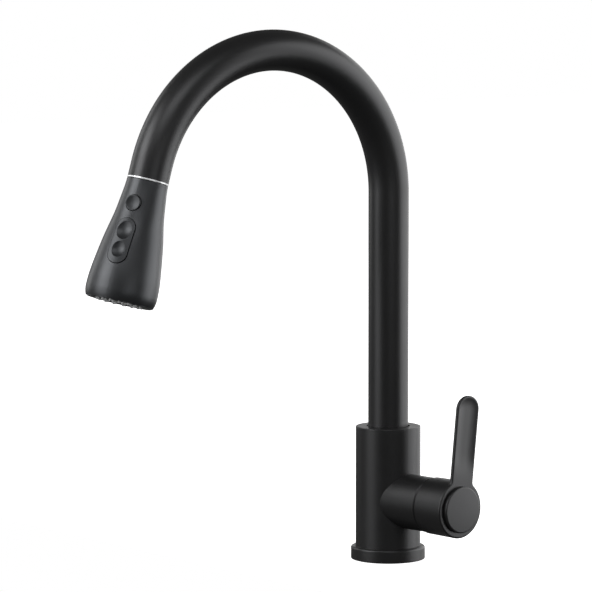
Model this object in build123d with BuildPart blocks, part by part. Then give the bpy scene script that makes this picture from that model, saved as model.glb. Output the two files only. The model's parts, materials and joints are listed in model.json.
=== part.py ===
"""Single-lever kitchen faucet with a gooseneck spout and a pull-down spray head.

Origin: centre of the base on the deck, z = 0 at the underside of the gasket.
+Z is up, the spout reaches along -Y and the lever is on the +X side.
Sizes are in millimetres, angles in degrees.
"""
from build123d import *
from math import acos, atan, cos, degrees, radians, sin, sqrt, tan
import os

os.makedirs("parts", exist_ok=True)

# ---------------------------------------------------------------- clearances
running = 0.05  # radial gap of a shaft turning or sliding in its bore
seat_gap = 0.10  # gap left at a thread or a push-in seat
moving_gap = 0.30  # gap between pieces that move past each other

# ---------------------------------------------------------------- deck and base
base_r = 27.7
base_height = 10.1
base_edge = 1.5
base_lift = 0.4  # the gasket stands this far below the ring
gasket_thick = 2.0
gasket_width = 8.0
gasket_inset = 2.0  # from the ring's edge to the gasket's recess
spigot_height = 4.0  # part of the base ring that stands inside the body
shank_r = 16.6
shank_wall = 2.0
shank_below_deck = 62.0
shank_lead = 0.8  # chamfer at the shank's lower end
deck_thick = 30.0
washer_r = 27.0
rubber_thick = 2.0
steel_thick = 1.5
jack_gap = 3.0  # from the steel washer to the shank nut
nut_flats = 47.0
nut_height = 9.0
jack_screw_r = 2.5
jack_screw_length = 20.0
jack_circle_r = 20.5
jack_socket_r = 1.25
jack_socket_depth = 2.5

# ---------------------------------------------------------------- body
body_r = 24.2
body_wall = 2.2
body_top = 100.2
body_edge = 0.6
ledge_top = 66.0
valve_height = 45.6
valve_turn = 5.8  # the valve axis is turned this far from +X towards +Y
boss_r = 20.4
boss_end = 48.5
boss_edge = 0.8
cartridge_gap = 1.0  # round the cartridge, in the boss
grub_rise = 8.4  # from the ledge to the grub screw
grub_r = 2.5
grub_point_r = 1.0
grub_point_length = 1.0
grub_inset = 0.9  # from the body's skin to the screw
grub_socket_r = 1.3
grub_socket_depth = 2.5
grub_groove_depth = 1.1

# ---------------------------------------------------------------- waterway block
block_flange = 4.0
port_r = 4.5  # M10 x 1 core hole
port_depth = 11.0
port_circle_r = 9.9
port_spread = 58.0  # angle from the outlet to each inlet
passage_r = 3.0
block_seat = 19.0  # cartridge seat, measured along the valve axis
plate_thick = 8.0
column_back = 0.3
column_front = 15.0
column_half_width = 14.0
column_top = 54.0
seat_inlet_x = 8.4
seat_inlet_y = 3.0
seat_outlet_y = -8.0
seal_thick = 0.9
seal_width = 1.1
seal_squeeze = 0.2  # the seals stand this far out of the cartridge

# ---------------------------------------------------------------- cartridge
cartridge_r = 17.4
cartridge_wall = 1.84
base_flange_thick = 2.3
base_spigot_thick = 2.5
fixed_disc_thick = 3.5
moving_disc_thick = 3.4
moving_disc_r = 11.5
fixed_port_r = 2.6
mixing_slot_length = 12.0
mixing_slot_width = 6.0
carrier_thick = 2.9
carrier_r = 12.2
rotor_flange_end = 41.0
rotor_neck_wall = 2.2  # of the housing, round the rotor's neck
rotor_end = 49.0
housing_shoulder = 43.0
housing_step = 4.2
housing_end = 49.4
lift_height = 37.0  # lift pivot, measured along the valve axis
lift_max = 25.0
pivot_pin_r = 1.5
pivot_pin_length = 18.0
stem_half = 3.5
stem_root_rise = 1.0  # the stem's full section starts this far past the lift pivot
stem_root_drop = 2.0
slot_gap = 0.3
stem_end = 70.9
tongue_half = 1.0
tongue_tip_r = 1.5
tongue_tip_height = 32.8
cartridge_nut_height = 4.55
nut_notches = 6
nut_notch_r = 1.4
nut_notch_depth = 1.8
nut_notch_inset = 0.5
dome_wall = 1.4
dome_end = 52.5
dome_rest = 0.02

# ---------------------------------------------------------------- lever
hub_start = 50.0
hub_face = 77.4
hub_rear_r = 21.1
hub_front_r = 21.5
hub_rim_r = 19.8
hub_bore_r = 18.9
hub_rim_depth = 4.0
hub_plate = 5.4
hub_edge = 1.2
blade_lean = 6.4  # the blade leans away from the spout
blade_length = 84.2
blade_root_width = 21.8
blade_tip_width = 22.0
blade_tip_height = 10.2
blade_thick = 3.2
blade_web = 4.0
socket_r = 8.5
socket_start = 60.0
cap_r = 17.3
cap_height = 3.1
cap_edge = 1.1
cap_spigot_r = 13.9
cap_spigot_depth = 2.5
cap_spigot_wall = 1.6
handle_screw_r = 2.5
handle_screw_length = 14.5
handle_screw_head_r = 4.2
handle_screw_head = 2.3
handle_socket_r = 1.7
handle_socket_depth = 1.6

# ---------------------------------------------------------------- neck
neck_r = 15.0
neck_wall = 1.0
neck_rise = 11.0  # from the ledge to the tube's lower end
arch_start = 275.0
arch_r = 109.1
arch_sweep = 163.5
neck_tail = 11.6
foot_wall = 1.2  # the foot's sleeve, round the tube
washer_thick = 1.0
washer_gap = 0.2
oring_r = 0.72
oring_rises = (1.65, 4.45)  # from the foot's lower end
bushing_length = 6.0
bushing_inset = 1.2  # below the body's top
ring_thick = 1.0
dock_bushing_length = 12.0
dock_lead = 0.8

# ---------------------------------------------------------------- pull-down hose
hose_r = 6.0
hose_bore_r = 4.0
hose_way = 1.2  # gap at the hose where it enters the neck
ledge_way = 0.5  # gap at the hose where it passes the ledge
hose_bend_r = 120.0
hose_bend_start = 120.0
hose_bottom = -56.0
stub_start = 42.0  # straight end of the hose, measured up from the dock
ferrule_r = 7.2
ferrule_top = 28.0
ferrule_bottom = 13.5
crimp_bands = (3.0, 7.0, 11.0)  # from the ferrule's top
crimp_width = 1.2
crimp_depth = 0.4
stub_gap = 2.0  # between the stub and the hose in the neck
tail_r = 4.95
tail_flange_r = 6.8
tail_flange_thick = 2.3
tail_bore_r = 2.8

# ---------------------------------------------------------------- spray head
head_top = 1.5
head_wall = 2.2
head_rim = 89.6
head_widest = 82.5
head_rim_arc = 18.0
head_wide_r = 26.1
head_turn = 31.8  # the buttons are turned this far from -Y towards +X
nut_top = -11.0
nut_bottom = 9.0
nut_r = 9.9
nut_top_r = 8.2
nut_thread_r = 8.0
nut_shoulder = -7.0
core_r = 12.0
core_start = 10.0
core_stub_start = -1.0
core_flange_start = 74.0
core_flange_thick = 2.5
core_flange_r = 22.6
cup_r = 18.4
cup_wall = 1.2
cup_end = 84.4
valve_bore_r = 5.5
check_valve_length = 8.0
check_disc_thick = 1.2
head_screws_number = 3
head_screw_start = 60.0
head_screw_circle = 20.6
head_screw_r = 1.25
head_screw_rim = 0.8
head_screw_head = 1.6
head_boss_r = 2.6
head_boss_length = 8.0

# pause button
pause_u = 19.4
pause_r = 5.85
pause_face = 17.75
pause_height = 4.4
pause_wall = 0.9
pause_edge = 0.5
pause_dish_r = 18.0
pause_dish = 0.7
pause_cap = 2.1
pause_travel = 1.5
plunger_r = 3.0
plunger_back = -7.0
plunger_waist = 1.2  # depth of the groove that the water passes
spring_seat = 9.0
spring_seat_gap = 0.4
spring_room = 0.6
spring_r = 3.7
spring_wire_r = 0.3
spring_turns = 5

# mode rocker
rocker_u = 47.7
rocker_surface_r = 22.1
rocker_slope = 10.0
rocker_length = 34.0
rocker_width = 14.4
rocker_gap = 0.5
rocker_proud = 0.55
rocker_thick = 2.6
rocker_pivot_depth = 5.5
rocker_dishes = ((-8.0, 14.0, 2.0), (6.9, 11.0, 1.9))  # place along it, radius and depth of each dish
rocker_pin_r = 1.0
rocker_pin_wall = 0.8
rocker_boss_half = 3.1
rocker_boss_width = 2.2
rocker_tail_r = 1.0
rocker_tail_half = 1.7
rocker_tail_radial = 10.9
rocker_tail_room = 0.9
ear_thick = 1.8
ear_half_length = 2.2
diverter_r = 3.0
diverter_radial = 8.5
diverter_back = 7.5  # from the rocker's middle to the slide's upper end
diverter_length = 18.0
diverter_notch_depth = 1.8
diverter_notch_gap = 0.1
diverter_room = 2.0

# spray face
plate_front = 89.8
plate_back = 86.0
plate_skirt_start = 79.0
plate_skirt_wall = 1.2
bezel_r = 23.6
bezel_wall = 0.8
bezel_front = 90.2
bezel_edge = 0.25
mat_r = 18.3
nub_r = 1.15
nub_tip_r = 0.9
nub_stand = 1.4
outer_nubs = 15
outer_nub_circle = 16.3
inner_nubs = 10
inner_nub_circle = 11.2
aerator_r = 8.0
aerator_wall = 1.2
screen_inset = 1.0
screen_thick = 0.6
screen_hole_r = 0.6
screen_pitch = 1.9

# ---------------------------------------------------------------- planes and axes
valve_point = Vector(0, 0, valve_height)
valve_dir = Vector(cos(radians(valve_turn)), sin(radians(valve_turn)), 0)
valve_side = Vector(-sin(radians(valve_turn)), cos(radians(valve_turn)), 0)
upright = Vector(0, 0, 1)
blade_dir = upright * cos(radians(blade_lean)) + valve_side * sin(radians(blade_lean))
port_plane = Plane(origin=(0, 0, 0), x_dir=valve_dir, z_dir=(0, 0, 1))
valve_plane = Plane(origin=valve_point, x_dir=valve_side, z_dir=valve_dir)
lever_plane = Plane(origin=valve_point, x_dir=blade_dir, z_dir=valve_dir)
lever_section = Plane(origin=valve_point, x_dir=blade_dir, z_dir=blade_dir.cross(valve_dir))
valve_axis = Axis(valve_point, valve_dir)

neck_end_dir = Vector(0, -sin(radians(arch_sweep)), cos(radians(arch_sweep)))
arch_end_point = Vector(
    0,
    -arch_r + arch_r * cos(radians(arch_sweep)),
    arch_start + arch_r * sin(radians(arch_sweep)),
)
dock_point = arch_end_point + neck_end_dir * neck_tail
head_front = Vector(0, neck_end_dir.Z, -neck_end_dir.Y)
button_dir = head_front * cos(radians(head_turn)) + Vector(1, 0, 0) * sin(radians(head_turn))
head_plane = Plane(origin=dock_point, x_dir=button_dir, z_dir=neck_end_dir)
head_section = Plane(origin=dock_point, x_dir=button_dir, z_dir=button_dir.cross(neck_end_dir))
head_axis = Axis(dock_point, neck_end_dir)
button_plane = Plane(
    origin=dock_point + neck_end_dir * pause_u, x_dir=neck_end_dir, z_dir=button_dir
)
slope_cos = cos(radians(rocker_slope))
slope_sin = sin(radians(rocker_slope))
rocker_plane = Plane(
    origin=dock_point + neck_end_dir * rocker_u + button_dir * rocker_surface_r,
    x_dir=neck_end_dir * slope_cos + button_dir * slope_sin,
    z_dir=button_dir * slope_cos - neck_end_dir * slope_sin,
)
pivot_radial = rocker_surface_r - rocker_pivot_depth * slope_cos
pivot_u = rocker_u + rocker_pivot_depth * slope_sin
pivot_plane = Plane(
    origin=dock_point + neck_end_dir * pivot_u, x_dir=neck_end_dir, z_dir=button_dir
)
rocker_section = Plane(
    origin=dock_point, x_dir=neck_end_dir, z_dir=neck_end_dir.cross(button_dir)
)

body_bore_r = body_r - body_wall
boss_bore_r = cartridge_r + cartridge_gap
dome_r = sqrt((boss_bore_r - seat_gap) ** 2 + (boss_end - lift_height) ** 2)
housing_neck_r = cartridge_r - housing_step
rotor_neck_r = housing_neck_r - rotor_neck_wall
shank_bore_r = shank_r - shank_wall
block_bottom = base_height + spigot_height
gasket_r = base_r - gasket_inset
neck_inner_r = neck_r - neck_wall
neck_bore_r = neck_r + foot_wall
neck_start = ledge_top + neck_rise
hose_offset = neck_inner_r - hose_r - hose_way  # from the body's axis back to the hose's, below the neck
ledge_hole_r = hose_offset + hose_r + ledge_way
bushing_top = body_top - bushing_inset
bushing_bottom = bushing_top - bushing_length
foot_bottom = ledge_top + washer_thick + running
foot_top = bushing_bottom - moving_gap
oring_heights = [foot_bottom + rise for rise in oring_rises]
grub_height = ledge_top + grub_rise
grub_plane = Plane(origin=(0, 0, grub_height), x_dir=(1, 0, 0), z_dir=(0, 1, 0))
dock_bore_r = nut_r + moving_gap
pause_back = pause_face - pause_height
diverter_start = rocker_u - diverter_back
core_flange_front = core_flange_start + core_flange_thick
plate_r = bezel_r - bezel_wall - seat_gap


def ring_face(outer, inner):
    """Ring profile in the sketch that is being built."""
    Circle(outer)
    Circle(inner, mode=Mode.SUBTRACT)


def finish(builder, name):
    """Label a finished piece and write it."""
    builder.part.label = name
    export_step(builder.part, f"parts/{name}.step")


# ================================================================ deck fixing
with BuildPart() as base_ring:
    with BuildSketch(Plane.XY.offset(base_lift)):
        ring_face(base_r, shank_r)
    extrude(amount=base_height - base_lift)
    ring_rims = base_ring.edges().filter_by(GeomType.CIRCLE).group_by(Axis.Z)
    fillet(ring_rims[-1].sort_by(SortBy.RADIUS)[-1], base_edge)
    ring_rims = base_ring.edges().filter_by(GeomType.CIRCLE).group_by(Axis.Z)
    fillet(ring_rims[0].sort_by(SortBy.RADIUS)[-1], base_edge / 2)
    with BuildSketch(Plane.XY.offset(base_height)):
        ring_face(body_bore_r - seat_gap, shank_r)
    extrude(amount=spigot_height)
    with BuildSketch(Plane.XY):
        Circle(gasket_r)
    extrude(amount=gasket_thick, mode=Mode.SUBTRACT)
finish(base_ring, "base_ring")

with BuildPart() as base_gasket:
    with BuildSketch(Plane.XY):
        ring_face(gasket_r - seat_gap, gasket_r - gasket_width)
    extrude(amount=gasket_thick)
finish(base_gasket, "base_gasket")

with BuildPart() as threaded_shank:
    with BuildSketch(Plane.XY.offset(-shank_below_deck)):
        ring_face(shank_r, shank_bore_r)
    extrude(amount=shank_below_deck + block_bottom)
    chamfer(threaded_shank.edges().group_by(Axis.Z)[0].sort_by(SortBy.RADIUS)[-1], shank_lead)
finish(threaded_shank, "threaded_shank")

with BuildPart() as deck_washer_rubber:
    with BuildSketch(Plane.XY.offset(-deck_thick)):
        ring_face(washer_r, shank_r + moving_gap)
    extrude(amount=-rubber_thick)
finish(deck_washer_rubber, "deck_washer_rubber")

steel_bottom = -deck_thick - rubber_thick - steel_thick
with BuildPart() as deck_washer_steel:
    with BuildSketch(Plane.XY.offset(steel_bottom)):
        ring_face(washer_r, shank_r + moving_gap)
    extrude(amount=steel_thick)
finish(deck_washer_steel, "deck_washer_steel")

nut_top_z = steel_bottom - jack_gap
with BuildPart() as shank_nut:
    with BuildSketch(Plane.XY.offset(nut_top_z - nut_height)):
        RegularPolygon(nut_flats / 2, 6, major_radius=False)
        Circle(shank_r + seat_gap, mode=Mode.SUBTRACT)
        with PolarLocations(jack_circle_r, 2):
            Circle(jack_screw_r + seat_gap / 2, mode=Mode.SUBTRACT)
    extrude(amount=nut_height)
finish(shank_nut, "shank_nut")

with BuildPart() as nut_jack_screws:
    with BuildSketch(Plane.XY.offset(steel_bottom)):
        with PolarLocations(jack_circle_r, 2):
            Circle(jack_screw_r)
    extrude(amount=-jack_screw_length)
    with BuildSketch(Plane.XY.offset(steel_bottom - jack_screw_length)):
        with PolarLocations(jack_circle_r, 2):
            RegularPolygon(jack_socket_r, 6)
    extrude(amount=jack_socket_depth, mode=Mode.SUBTRACT)
finish(nut_jack_screws, "nut_jack_screws")

# ================================================================ body
cavity_top = valve_height + boss_bore_r
with BuildPart() as valve_body:
    with BuildSketch(Plane.XY.offset(base_height)):
        Circle(body_r)
    extrude(amount=body_top - base_height)
    fillet(valve_body.edges().filter_by(GeomType.CIRCLE).group_by(Axis.Z)[-1], body_edge)
    with BuildSketch(valve_plane):
        Circle(boss_r)
    extrude(amount=boss_end)
    boss_rim = valve_body.edges().filter_by(GeomType.CIRCLE).sort_by(valve_axis)[-1]
    chamfer(boss_rim, boss_edge)
    with BuildSketch(Plane.XY.offset(base_height)):
        Circle(body_bore_r)
    extrude(amount=cavity_top - base_height, mode=Mode.SUBTRACT)
    with BuildSketch(valve_plane):
        Circle(boss_bore_r)
    extrude(amount=boss_end, mode=Mode.SUBTRACT)
    with BuildSketch(Plane.XY.offset(cavity_top)):
        Circle(ledge_hole_r)
    extrude(amount=ledge_top - cavity_top, mode=Mode.SUBTRACT)
    with BuildSketch(Plane.XY.offset(ledge_top)):
        Circle(neck_bore_r)
    extrude(amount=body_top - ledge_top, mode=Mode.SUBTRACT)
    with BuildSketch(grub_plane):
        Circle(grub_r)
    extrude(amount=body_r, mode=Mode.SUBTRACT)
finish(valve_body, "valve_body")

# ================================================================ waterway block
outlet_port = (port_circle_r, 0)
inlet_ports = [
    (port_circle_r * cos(radians(port_spread)), side * port_circle_r * sin(radians(port_spread)))
    for side in (-1, 1)
]
with BuildPart() as waterway_block:
    with BuildSketch(port_plane.offset(block_bottom)):
        Circle(body_bore_r - seat_gap)
    extrude(amount=block_flange)
    with BuildSketch(port_plane.offset(block_bottom)):
        with Locations(((column_front - column_back) / 2, 0)):
            Rectangle(column_front + column_back, 2 * column_half_width)
    extrude(amount=column_top - block_bottom)
    with BuildSketch(valve_plane.offset(block_seat - plate_thick)):
        Circle(boss_bore_r - seat_gap)
    extrude(amount=plate_thick)
    with BuildSketch(port_plane.offset(block_bottom)):
        with Locations((-hose_offset, 0)):
            Circle(hose_r + moving_gap)
    extrude(amount=column_top, mode=Mode.SUBTRACT)
    with BuildSketch(port_plane.offset(block_bottom)):
        with Locations(outlet_port, *inlet_ports):
            Circle(port_r)
    extrude(amount=port_depth, mode=Mode.SUBTRACT)
    with BuildSketch(port_plane.offset(block_bottom)):
        with Locations(*inlet_ports):
            Circle(passage_r)
    extrude(amount=valve_height + seat_inlet_y - block_bottom, mode=Mode.SUBTRACT)
    with BuildSketch(port_plane.offset(block_bottom)):
        with Locations(outlet_port):
            Circle(passage_r)
    extrude(amount=valve_height + seat_outlet_y - block_bottom, mode=Mode.SUBTRACT)
    with BuildSketch(valve_plane.offset(inlet_ports[0][0])):
        with Locations((-seat_inlet_x, seat_inlet_y), (seat_inlet_x, seat_inlet_y)):
            Circle(passage_r)
    extrude(amount=block_seat - inlet_ports[0][0], mode=Mode.SUBTRACT)
    with BuildSketch(valve_plane.offset(port_circle_r)):
        with Locations((0, seat_outlet_y)):
            Circle(passage_r)
    extrude(amount=block_seat - port_circle_r, mode=Mode.SUBTRACT)
finish(waterway_block, "waterway_block")

# ================================================================ cartridge
base_start = block_seat + seal_squeeze
flange_end = base_start + base_flange_thick
discs_start = flange_end + base_spigot_thick
moving_start = discs_start + fixed_disc_thick + running
carrier_start = moving_start + moving_disc_thick
rotor_start = carrier_start + carrier_thick + seat_gap
housing_bore_r = cartridge_r - cartridge_wall
seat_ports = [(-seat_inlet_x, seat_inlet_y), (seat_inlet_x, seat_inlet_y), (0, seat_outlet_y)]

with BuildPart() as cartridge_base:
    with BuildSketch(valve_plane.offset(base_start)):
        Circle(cartridge_r)
    extrude(amount=base_flange_thick)
    with BuildSketch(valve_plane.offset(flange_end)):
        Circle(housing_bore_r - seat_gap)
    extrude(amount=base_spigot_thick)
    with BuildSketch(valve_plane.offset(base_start)):
        with Locations(*seat_ports):
            Circle(passage_r)
    extrude(amount=base_flange_thick + base_spigot_thick, mode=Mode.SUBTRACT)
    with BuildSketch(valve_plane.offset(base_start)):
        with Locations(*seat_ports):
            Circle(passage_r + seal_width + seat_gap)
    extrude(amount=seal_thick - seal_squeeze, mode=Mode.SUBTRACT)
finish(cartridge_base, "cartridge_base")

with BuildPart() as port_seals:
    with BuildSketch(valve_plane.offset(block_seat)):
        with Locations(*seat_ports):
            Circle(passage_r + seal_width)
        with Locations(*seat_ports):
            Circle(passage_r, mode=Mode.SUBTRACT)
    extrude(amount=seal_thick)
finish(port_seals, "port_seals")

with BuildPart() as cartridge_housing:
    with BuildSketch(valve_plane.offset(flange_end)):
        Circle(cartridge_r)
    extrude(amount=housing_shoulder - flange_end)
    with BuildSketch(valve_plane.offset(housing_shoulder)):
        Circle(housing_neck_r)
    extrude(amount=housing_end - housing_shoulder)
    with BuildSketch(valve_plane.offset(flange_end)):
        Circle(housing_bore_r)
    extrude(amount=rotor_flange_end + seat_gap - flange_end, mode=Mode.SUBTRACT)
    with BuildSketch(valve_plane.offset(rotor_flange_end)):
        Circle(rotor_neck_r + running)
    extrude(amount=housing_end - rotor_flange_end, mode=Mode.SUBTRACT)
finish(cartridge_housing, "cartridge_housing")

with BuildPart() as fixed_disc:
    with BuildSketch(valve_plane.offset(discs_start)):
        Circle(housing_bore_r - seat_gap)
        with Locations(*seat_ports):
            Circle(fixed_port_r, mode=Mode.SUBTRACT)
    extrude(amount=fixed_disc_thick)
finish(fixed_disc, "fixed_disc")

with BuildPart() as moving_disc:
    with BuildSketch(lever_plane.offset(moving_start)):
        Circle(moving_disc_r)
    extrude(amount=moving_disc_thick)
    with BuildSketch(lever_plane.offset(moving_start)):
        SlotOverall(mixing_slot_length, mixing_slot_width, rotation=90)
    extrude(amount=moving_disc_thick / 2, mode=Mode.SUBTRACT)
finish(moving_disc, "moving_disc")

with BuildPart() as disc_carrier:
    with BuildSketch(lever_plane.offset(carrier_start)):
        Circle(carrier_r)
        Rectangle(2 * (tongue_tip_r + seat_gap), 2 * (stem_half + 2 * seat_gap), mode=Mode.SUBTRACT)
    extrude(amount=carrier_thick)
finish(disc_carrier, "disc_carrier")

lift_tan = tan(radians(lift_max))
lift_cos = cos(radians(lift_max))
slot_waist = lift_height + 2  # the slot opens both ways from here


def stem_swing(height):
    """How far the tilted stem's lower side stands from the valve axis at this height."""
    return (height - lift_height) * lift_tan + stem_half / lift_cos + slot_gap


with BuildPart() as cartridge_rotor:
    with BuildSketch(valve_plane.offset(rotor_start)):
        Circle(housing_bore_r - running)
    extrude(amount=rotor_flange_end - rotor_start)
    with BuildSketch(valve_plane.offset(rotor_flange_end)):
        Circle(rotor_neck_r)
    extrude(amount=rotor_end - rotor_flange_end)
    with BuildSketch(lever_section):
        with BuildLine():
            Polyline(
                (stem_half + slot_gap, rotor_end),
                (stem_half + slot_gap, slot_waist),
                (stem_half + 5 * slot_gap, rotor_start),
                (-stem_half, rotor_start),
                (-stem_swing(slot_waist), slot_waist),
                (-stem_swing(rotor_end), rotor_end),
                close=True,
            )
        make_face()
    extrude(amount=stem_half + seat_gap, both=True, mode=Mode.SUBTRACT)
    with BuildSketch(lever_section):
        with Locations((0, lift_height)):
            Circle(pivot_pin_r)
    extrude(amount=pivot_pin_length / 2, both=True, mode=Mode.SUBTRACT)
finish(cartridge_rotor, "cartridge_rotor")

with BuildPart() as stem_pin:
    with BuildSketch(lever_section):
        with Locations((0, lift_height)):
            Circle(pivot_pin_r)
    extrude(amount=pivot_pin_length / 2, both=True)
finish(stem_pin, "stem_pin")

with BuildPart() as stem:
    with BuildSketch(lever_plane.offset(lift_height + stem_root_rise)):
        Rectangle(2 * stem_half, 2 * stem_half)
    extrude(amount=stem_end - lift_height - stem_root_rise)
    with BuildSketch(lever_plane.offset(lift_height - stem_root_drop)):
        Rectangle(2 * stem_half - 1, 2 * stem_half)
    extrude(amount=stem_root_rise + stem_root_drop)
    with BuildSketch(lever_section):
        with Locations((0, (tongue_tip_height + lift_height) / 2)):
            Rectangle(2 * tongue_half, lift_height - tongue_tip_height)
        with Locations((0, tongue_tip_height)):
            Circle(tongue_tip_r)
    extrude(amount=stem_half, both=True)
    with BuildSketch(lever_section):
        with Locations((0, lift_height)):
            Circle(pivot_pin_r + running)
    extrude(amount=stem_half, both=True, mode=Mode.SUBTRACT)
    with BuildSketch(lever_plane.offset(stem_end)):
        Circle(handle_screw_r)
    extrude(amount=-handle_screw_length, mode=Mode.SUBTRACT)
finish(stem, "stem")

with BuildPart() as cartridge_nut:
    with BuildSketch(valve_plane.offset(housing_shoulder)):
        ring_face(boss_bore_r - running, housing_neck_r + seat_gap)
    extrude(amount=cartridge_nut_height)
    with BuildSketch(valve_plane.offset(housing_shoulder + cartridge_nut_height)):
        with PolarLocations(housing_neck_r + nut_notch_inset, nut_notches):
            Circle(nut_notch_r)
    extrude(amount=-nut_notch_depth, mode=Mode.SUBTRACT)
finish(cartridge_nut, "cartridge_nut")

dome_start = housing_shoulder + cartridge_nut_height
with BuildPart() as dome_cover:
    with BuildSketch(lever_section):
        with Locations((0, lift_height)):
            Circle(dome_r)
            Circle(dome_r - dome_wall, mode=Mode.SUBTRACT)
        with Locations((dome_r / 2, (dome_start + dome_end) / 2)):
            Rectangle(dome_r, dome_end - dome_start, mode=Mode.INTERSECT)
        with Locations((boss_bore_r - running + dome_wall, (dome_start + boss_end) / 2)):
            Rectangle(2 * dome_wall, boss_end - dome_start + dome_rest, mode=Mode.SUBTRACT)
    revolve(axis=valve_axis)
finish(dome_cover, "dome_cover")

# ================================================================ lever
with BuildPart() as lever_handle:
    with BuildSketch(lever_section):
        with BuildLine():
            Polyline(
                (hub_rim_r, hub_start),
                (hub_rear_r, hub_start),
                (hub_front_r, hub_face),
                (0, hub_face),
                (0, hub_face - hub_plate),
                (hub_bore_r, hub_face - hub_plate),
                (hub_bore_r, hub_start + hub_rim_depth),
                (hub_rim_r, hub_start + hub_rim_depth),
                close=True,
            )
        make_face()
    revolve(axis=valve_axis)
    with BuildSketch(lever_plane.offset(hub_face - blade_thick)) as blade_outline:
        Circle(hub_front_r)
        with BuildLine():
            blade_shoulder = blade_length - blade_tip_height
            Line((0, -blade_root_width / 2), (0, blade_root_width / 2))
            Line((0, blade_root_width / 2), (blade_shoulder, blade_tip_width / 2))
            EllipticalCenterArc(
                (blade_shoulder, 0), blade_tip_height, blade_tip_width / 2, start_angle=-90, arc_size=180
            )
            Line((blade_shoulder, -blade_tip_width / 2), (0, -blade_root_width / 2))
        make_face()
        roots = blade_outline.vertices().filter_by(
            lambda corner: lever_plane.to_local_coords(corner.center()).X > 1
            and lever_plane.to_local_coords(corner.center()).X < hub_front_r + 1
        )
        fillet(roots, blade_web)
    extrude(amount=blade_thick)
    rim_edges = lever_handle.edges().group_by(valve_axis)[-1]
    fillet(rim_edges, hub_edge)
    with BuildSketch(lever_plane.offset(socket_start)):
        Circle(socket_r)
    extrude(amount=hub_face - hub_plate - socket_start)
    with BuildSketch(lever_plane.offset(socket_start)):
        Rectangle(2 * (stem_half + running), 2 * (stem_half + running))
    extrude(amount=stem_end + seat_gap - socket_start, mode=Mode.SUBTRACT)
    with BuildSketch(lever_plane.offset(hub_face)):
        Circle(cap_spigot_r + seat_gap)
    extrude(amount=-cap_spigot_depth, mode=Mode.SUBTRACT)
    with BuildSketch(lever_plane.offset(hub_face)):
        Circle(handle_screw_r + seat_gap)
    extrude(amount=stem_end - hub_face, mode=Mode.SUBTRACT)
    with BuildSketch(lever_plane.offset(hub_face)):
        Circle(handle_screw_head_r + seat_gap)
    extrude(amount=-cap_spigot_depth - handle_screw_head, mode=Mode.SUBTRACT)
finish(lever_handle, "lever_handle")

screw_seat = hub_face - cap_spigot_depth - handle_screw_head
with BuildPart() as handle_screw:
    with BuildSketch(lever_plane.offset(screw_seat)):
        Circle(handle_screw_head_r)
    extrude(amount=handle_screw_head)
    with BuildSketch(lever_plane.offset(screw_seat)):
        Circle(handle_screw_r)
    extrude(amount=-handle_screw_length + 1)
    with BuildSketch(lever_plane.offset(screw_seat + handle_screw_head)):
        RegularPolygon(handle_socket_r, 6)
    extrude(amount=-handle_socket_depth, mode=Mode.SUBTRACT)
finish(handle_screw, "handle_screw")

with BuildPart() as handle_cap:
    with BuildSketch(lever_plane.offset(hub_face)):
        Circle(cap_r)
    extrude(amount=cap_height)
    fillet(handle_cap.edges().group_by(valve_axis)[-1], cap_edge)
    with BuildSketch(lever_plane.offset(hub_face)):
        ring_face(cap_spigot_r, cap_spigot_r - cap_spigot_wall)
    extrude(amount=-cap_spigot_depth + seat_gap)
finish(handle_cap, "handle_cap")

# ================================================================ neck
with BuildPart() as neck_tube:
    with BuildLine(Plane.YZ) as neck_path:
        rise = Line((0, neck_start), (0, arch_start))
        arch = JernArc(rise @ 1, (0, 1), arch_r, arch_sweep)
        Line(arch @ 1, (arch @ 1) + (arch % 1) * neck_tail)
    with BuildSketch(Plane.XY.offset(neck_start)):
        ring_face(neck_r, neck_inner_r)
    sweep(path=neck_path.wires()[0])
finish(neck_tube, "neck_tube")

with BuildPart() as neck_foot:
    with BuildSketch(Plane.XY.offset(foot_bottom)):
        ring_face(neck_bore_r - running, ledge_hole_r)
    extrude(amount=foot_top - foot_bottom)
    with BuildSketch(Plane.XY.offset(neck_start)):
        Circle(neck_r)
    extrude(amount=foot_top - neck_start, mode=Mode.SUBTRACT)
    for height in oring_heights:
        with BuildSketch(Plane.XY.offset(height - oring_r)):
            ring_face(neck_bore_r + 1, neck_bore_r - running - 2 * oring_r)
        extrude(amount=2 * oring_r, mode=Mode.SUBTRACT)
    with BuildSketch(Plane.XY.offset(grub_height - grub_point_r - moving_gap)):
        ring_face(neck_bore_r + 1, neck_bore_r - grub_groove_depth)
    extrude(amount=2 * (grub_point_r + moving_gap), mode=Mode.SUBTRACT)
finish(neck_foot, "neck_foot")

with BuildPart() as neck_orings:
    for height in oring_heights:
        with BuildSketch(Plane.XZ):
            with Locations((neck_bore_r - running - oring_r, height)):
                Circle(oring_r)
        revolve(axis=Axis.Z)
finish(neck_orings, "neck_orings")

with BuildPart() as neck_thrust_washer:
    with BuildSketch(Plane.XY.offset(ledge_top)):
        ring_face(neck_bore_r - washer_gap, ledge_hole_r)
    extrude(amount=washer_thick)
finish(neck_thrust_washer, "neck_thrust_washer")

with BuildPart() as neck_bushing:
    with BuildSketch(Plane.XY.offset(bushing_bottom)):
        ring_face(neck_bore_r, neck_r + running)
    extrude(amount=bushing_top - bushing_bottom)
finish(neck_bushing, "neck_bushing")

grub_seat = neck_bore_r + moving_gap
with BuildPart() as neck_grub_screw:
    with BuildSketch(grub_plane.offset(grub_seat)):
        Circle(grub_r)
    extrude(amount=body_r - grub_inset - grub_seat)
    with BuildSketch(grub_plane.offset(grub_seat)):
        Circle(grub_point_r)
    extrude(amount=-grub_point_length)
    with BuildSketch(grub_plane.offset(body_r - grub_inset)):
        RegularPolygon(grub_socket_r, 6)
    extrude(amount=-grub_socket_depth, mode=Mode.SUBTRACT)
finish(neck_grub_screw, "neck_grub_screw")

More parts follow.
